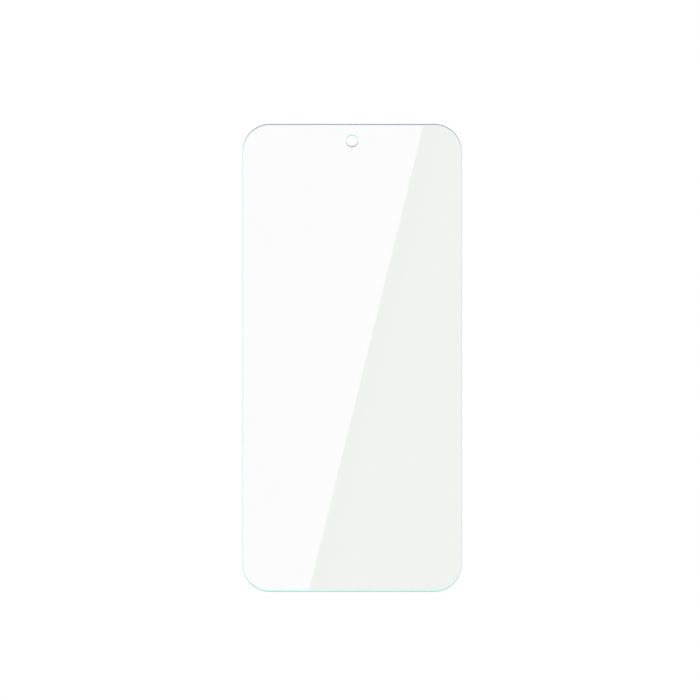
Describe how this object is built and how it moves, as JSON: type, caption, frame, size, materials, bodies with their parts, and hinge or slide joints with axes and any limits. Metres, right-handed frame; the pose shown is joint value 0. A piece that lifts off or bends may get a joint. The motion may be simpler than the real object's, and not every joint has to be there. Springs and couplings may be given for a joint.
{
  "type": "phone screen protector",
  "caption": "Thin clear glass sheet with rounded corners, an eased front edge and a round camera hole, stuck over a phone's screen to protect it.",
  "frame": {"origin": "centre of the back face, the one that sticks to the screen", "axes": "+X across the sheet, +Y along it towards the end with the camera hole, +Z out of the front face"},
  "size_m": [0.0668, 0.1422, 0.0003],
  "materials": {
    "clear_glass": "clear polished tempered glass, with a ground and polished edge"
  },
  "bodies": {
    "root": {"glass_sheet": "clear_glass"}
  },
  "joints": []
}
